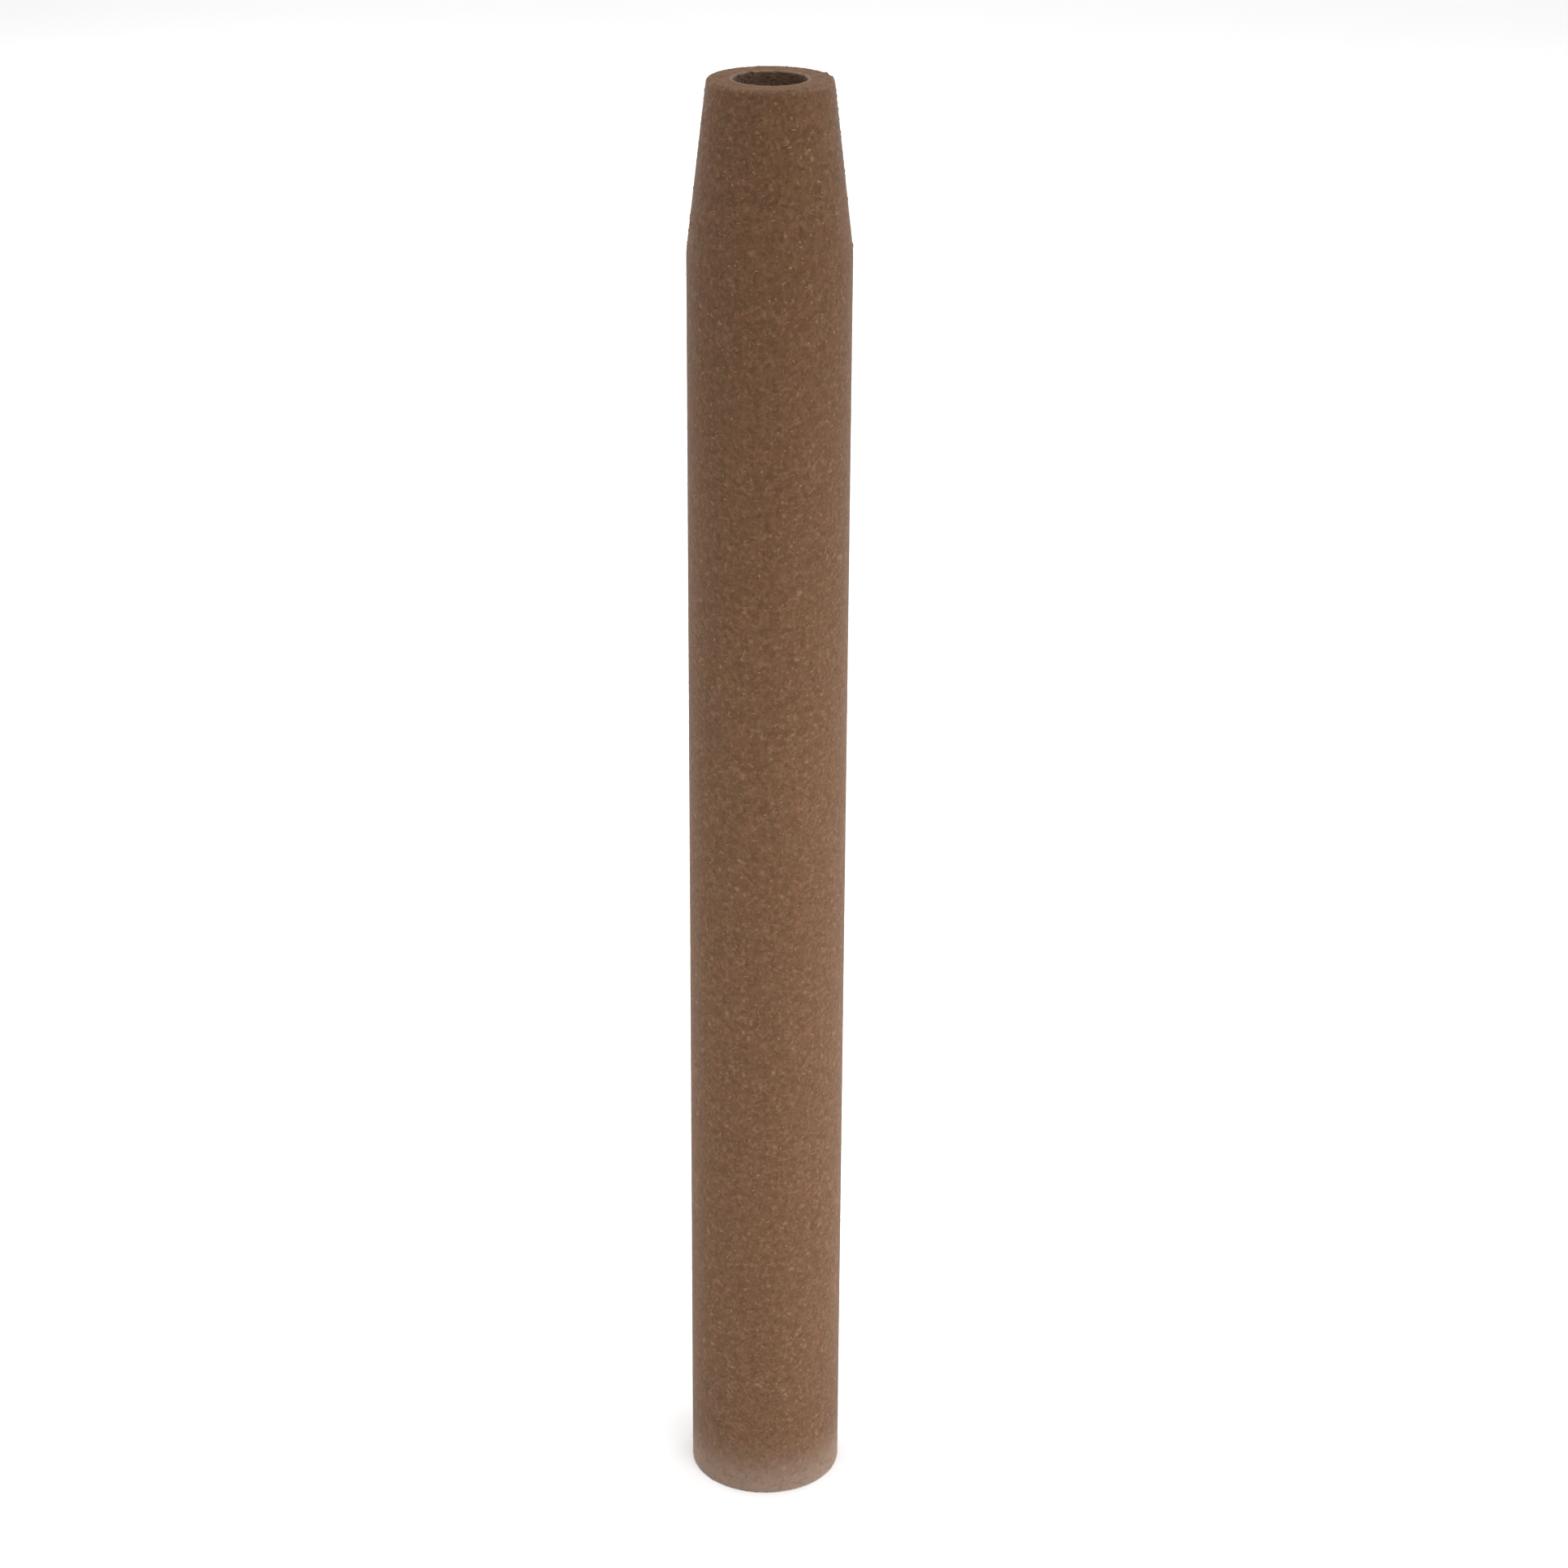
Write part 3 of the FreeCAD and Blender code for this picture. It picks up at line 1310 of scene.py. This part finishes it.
    def build(self, skin: Object, finish: Material) -> None:
        """Scatters both kinds of flake over the surface.

        Args:
            skin: the worn surface, which is removed at the end.
            finish: the flakes' material.
        """
        kinds = {
            Flake.FIBRE: (
                self.fibre_tree(), self.fibre_density, self.fibre_length, self.fibre_seed
            ),
            Flake.GRANULE: (
                self.granule_tree(), self.granule_density, self.granule_size, self.granule_seed
            ),
        }
        for flake, (tree, density, (smallest, largest), seed) in kinds.items():
            settings = {
                "Density": density,
                "Seed": seed,
                "Smallest": smallest,
                "Largest": largest,
                "Finish": finish,
            }
            set_on_body(baked_mesh(flake.value, skin.data, tree, settings))
        bpy.data.objects.remove(skin)


@dataclass
class RimBurr:
    """A torn tuft of pulp that stands out from the rim of the nose."""

    shape: StickShape
    angle: float = math.radians(29)
    reach: float = 0.16 * MM
    size: Point = (0.17 * MM, 0.30 * MM, 0.15 * MM)
    sunk_share: float = 1.35
    lumpiness: float = 0.35
    lump_size: float = 0.9
    lump_place: Point = (3.0, 1.0, 7.0)

    def build(self, finish: Material) -> None:
        """Makes the tuft.

        Args:
            finish: its material.
        """
        shape = bmesh.new()
        bmesh.ops.create_icosphere(shape, subdivisions=4, radius=1.0)
        for point in shape.verts:
            place = point.co / self.lump_size + Vector(self.lump_place)
            lump = noise.fractal(place, 1.0, 2.1, 4)
            point.co *= 1.0 + self.lumpiness * lump
        bmesh.ops.scale(shape, vec=self.size, verts=shape.verts)
        out = self.shape.nose_radius + self.reach - self.size[0]
        up = self.shape.length - self.sunk_share * self.size[2]
        bmesh.ops.translate(shape, vec=(out, 0.0, up), verts=shape.verts)
        bmesh.ops.rotate(shape, matrix=Matrix.Rotation(self.angle, 3, "Z"), verts=shape.verts)
        for point in shape.verts:
            point.co.z = min(point.co.z, self.shape.length)
        for face in shape.faces:
            face.smooth = True
        set_on_body(plain_object("rim_burr", shape, finish))


# ---------------------------------------------------------------- studio


@dataclass(frozen=True)
class SoftLight:
    """One soft white light, aimed at a point."""

    name: str
    lamp: Lamp
    place: Point
    power: float
    spread: float = 0.5
    target: Point = (0.0, 0.0, 0.07)

    def build(self) -> None:
        """Adds the light to the scene."""
        data = bpy.data.lights.new(self.name, self.lamp.value)
        data.energy = self.power
        if self.lamp is Lamp.PANEL:
            data.shape = "DISK"
            data.size = self.spread
        else:
            data.angle = self.spread
        light = placed(self.name, data)
        light.location = self.place
        aim = Vector(self.target) - Vector(self.place)
        light.rotation_euler = aim.to_track_quat("-Z", "Y").to_euler()
        light.visible_camera = False


@dataclass
class Studio:
    """A plain pale floor, soft light and the camera."""

    focal_length: float = 79.14
    sensor_width: float = 36.0
    nearest: float = 10 * MM
    distance: float = 323.3 * MM
    height: float = 216.3 * MM
    pitch: float = math.radians(22.827)
    yaw: float = math.radians(0.294)
    roll: float = math.radians(0.333)
    floor_radius: float = 4.0
    floor_tones: tuple[Colour, Colour] = ((0.90, 0.90, 0.90), (0.93, 0.93, 0.93))
    floor_cloud_scale: float = 9.0
    floor_roughness: float = 0.9
    floor_specular: float = 0.1
    backdrop: float = 0.87
    lights: tuple[SoftLight, ...] = (
        SoftLight("ceiling", Lamp.CEILING, (0.0, 0.0, 2.0), 3.1, math.radians(40)),
        SoftLight("front", Lamp.PANEL, (0.30, -0.63, 0.75), 2.08, 0.6, (0.0, 0.0, 0.1)),
        SoftLight("side_right", Lamp.PANEL, (0.80, 0.0, 0.30), 0.80),
        SoftLight("side_left", Lamp.PANEL, (-0.80, 0.0, 0.30), 0.65),
        SoftLight("back_right", Lamp.PANEL, (0.50, 0.50, 0.30), 1.00),
        SoftLight("back_left", Lamp.PANEL, (-0.50, 0.50, 0.30), 1.60),
        SoftLight("low_front_right", Lamp.PANEL, (0.13, -0.13, 0.02), 0.155, 0.1, (0.0, 0.0, 0.0)),
        SoftLight("low_front_left", Lamp.PANEL, (-0.13, -0.13, 0.02), 0.068, 0.1, (0.0, 0.0, 0.0)),
        SoftLight("low_left", Lamp.PANEL, (-0.18, 0.0, 0.02), 0.040, 0.1, (0.0, 0.0, 0.0)),
        SoftLight("low_right", Lamp.PANEL, (0.18, 0.0, 0.02), 0.130, 0.1, (0.0, 0.0, 0.0)),
    )

    def build_floor(self) -> None:
        """A round matte floor, a little uneven in tone."""
        shape = bmesh.new()
        bmesh.ops.create_circle(shape, cap_ends=True, segments=96, radius=self.floor_radius)
        paper, writer, place = new_material("floor_paper")
        cloud = writer.noise(place, self.floor_cloud_scale, 2.0)
        feeds = {
            "Base Color": writer.blend(cloud, *map(colour4, self.floor_tones)),
            "Roughness": self.floor_roughness,
            "Specular IOR Level": self.floor_specular,
        }
        writer.end_in_shader(feeds)
        plain_object("floor", shape, paper)

    def build_world(self) -> None:
        """A pale room that is seen past the floor and gives no light."""
        world = bpy.data.worlds.new("pale_room")
        world.use_nodes = True
        writer = NodeWriter(world.node_tree)
        background = world.node_tree.nodes["Background"]
        background.inputs["Color"].default_value = (1.0, 1.0, 1.0, 1.0)
        seen = writer.add("ShaderNodeLightPath").outputs["Is Camera Ray"]
        writer.feed(background.inputs["Strength"], writer.times(seen, self.backdrop))
        bpy.context.scene.world = world

    def build_camera(self) -> None:
        """The camera, in front of the stick and looking a little down on it."""
        data = bpy.data.cameras.new("camera")
        data.lens = self.focal_length
        data.sensor_width = self.sensor_width
        data.clip_start = self.nearest
        camera = placed("camera", data)
        camera.matrix_world = (
            Matrix.Translation((0.0, -self.distance, self.height))
            @ Matrix.Rotation(-self.yaw, 4, "Z")
            @ Matrix.Rotation(math.pi / 2 - self.pitch, 4, "X")
            @ Matrix.Rotation(self.roll, 4, "Z")
        )
        bpy.context.scene.camera = camera

    def build(self) -> None:
        """Sets up everything round the object."""
        bpy.context.scene.view_settings.view_transform = "Standard"
        self.build_floor()
        self.build_world()
        self.build_camera()
        for light in self.lights:
            light.build()
        log.info("studio: %d lights", len(self.lights))


def main() -> None:
    """Builds the stick piece by piece, then its studio."""
    logging.basicConfig(level=logging.INFO, format="%(name)s: %(message)s")
    shape = StickShape.from_frame()
    groups = PaperNodes(shape)
    finishes = {
        Paper.BARREL: PulpFinish(Paper.BARREL.value).material(groups),
        Paper.NOSE: PulpFinish(
            Paper.NOSE.value, grain_contrast=1.7, fleck_strength=0.52, pit_shade_strength=0.46
        ).material(groups),
        # Painted light: a lighter, greyer copy of the pulp, for light reaching into the bore.
        Paper.BORE: PulpFinish(
            Paper.BORE.value,
            dark=(0.157, 0.096, 0.062),
            light=(0.342, 0.231, 0.164),
            fleck_share=0.2,
        ).material(groups),
    }
    flakes = FlakeFinish("pulp_flakes").material(groups)
    stick = WoundStick(shape)
    stick.build(finishes)
    Scatter(shape).build(stick.skin(), flakes)
    RimBurr(shape).build(finishes[Paper.NOSE])
    Studio().build()


if __name__ == "__main__":
    main()
